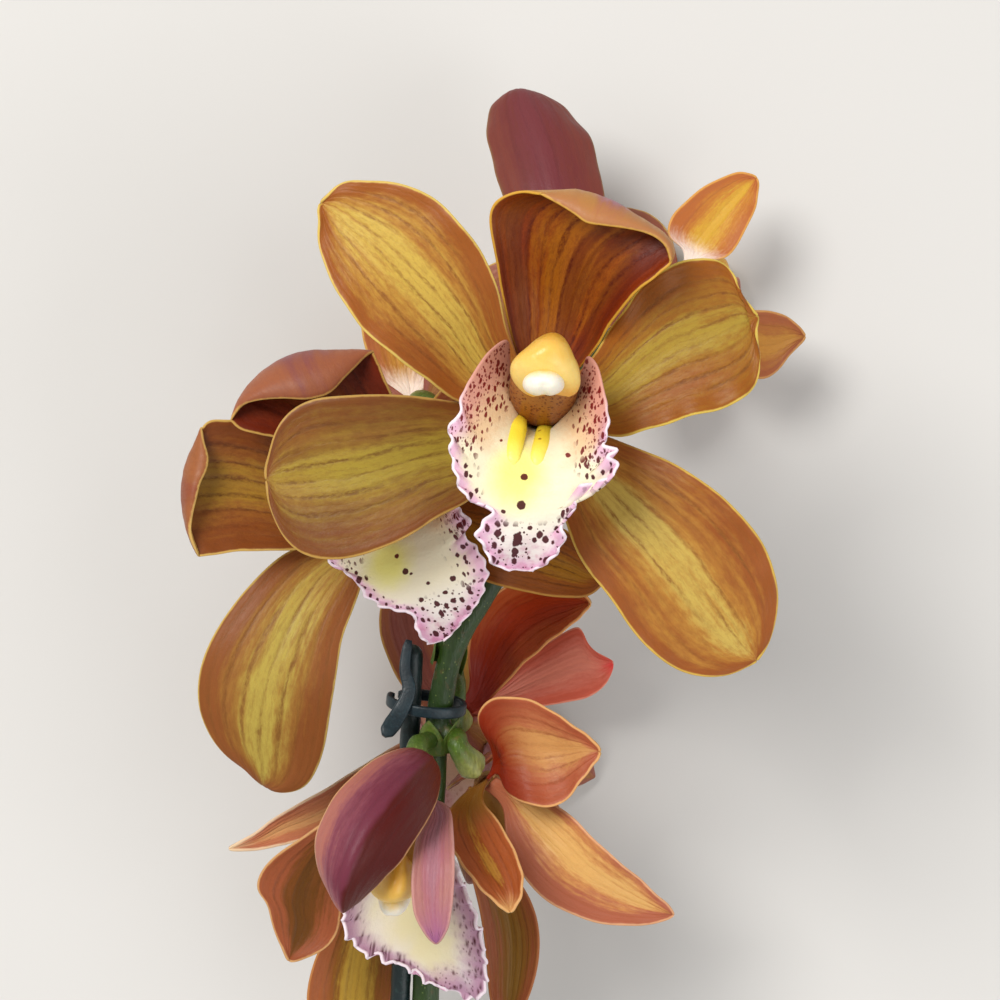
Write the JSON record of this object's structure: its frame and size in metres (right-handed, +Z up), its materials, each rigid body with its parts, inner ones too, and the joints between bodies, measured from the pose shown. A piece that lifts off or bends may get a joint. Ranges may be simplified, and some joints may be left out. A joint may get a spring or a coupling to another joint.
{
  "type": "cymbidium orchid stem",
  "caption": "Cut orchid stem lying on its back: an arched green spike of open copper-gold flowers with pink-spotted lips, clipped to a thin support stake.",
  "frame": {"origin": "on the surface it lies on, under the middle of the whole lying stem", "axes": "+Z up from the surface; +Y along the stem towards the youngest flower, the cut end at -Y; +X to the right of somebody looking down with +Y up the page"},
  "size_m": [0.1048, 0.3323, 0.1039],
  "materials": {
    "tepal": "waxy petal, copper and gold, brown veins",
    "lip": "satin petal, cream with maroon spots and pink margin",
    "column": "waxy, golden cap, speckled underside",
    "stem": "smooth fresh green stem",
    "stake": "dark green plastic coating",
    "clip": "dark teal moulded plastic"
  },
  "bodies": {
    "root": {"front_dorsal_sepal": "tepal", "front_left_petal": "tepal", "front_right_petal": "tepal", "front_left_sepal": "tepal", "front_right_sepal": "tepal", "front_lip": "lip", "front_column": "column", "left_dorsal_sepal": "tepal", "left_left_petal": "tepal", "left_right_petal": "tepal", "left_left_sepal": "tepal", "left_right_sepal": "tepal", "left_lip": "lip", "left_column": "column", "lower_left_dorsal_sepal": "tepal", "lower_left_left_petal": "tepal", "lower_left_right_petal": "tepal", "lower_left_left_sepal": "tepal", "lower_left_right_sepal": "tepal", "lower_left_lip": "lip", "lower_left_column": "column", "lower_right_dorsal_sepal": "tepal", "lower_right_left_petal": "tepal", "lower_right_right_petal": "tepal", "lower_right_left_sepal": "tepal", "lower_right_right_sepal": "tepal", "lower_right_lip": "lip", "lower_right_column": "column", "under_dorsal_sepal": "tepal", "under_left_petal": "tepal", "under_right_petal": "tepal", "under_left_sepal": "tepal", "under_right_sepal": "tepal", "under_lip": "lip", "under_column": "column", "back_left_dorsal_sepal": "tepal", "back_left_left_petal": "tepal", "back_left_right_petal": "tepal", "back_left_left_sepal": "tepal", "back_left_right_sepal": "tepal", "back_left_lip": "lip", "back_left_column": "column", "back_right_dorsal_sepal": "tepal", "back_right_left_petal": "tepal", "back_right_right_petal": "tepal", "back_right_left_sepal": "tepal", "back_right_right_sepal": "tepal", "back_right_lip": "lip", "back_right_column": "column", "top_dorsal_sepal": "tepal", "top_left_petal": "tepal", "top_right_petal": "tepal", "top_left_sepal": "tepal", "top_right_sepal": "tepal", "top_lip": "lip", "top_column": "column", "stem": "stem", "support_stake": "stake", "stake_clip": "clip"}
  },
  "joints": []
}
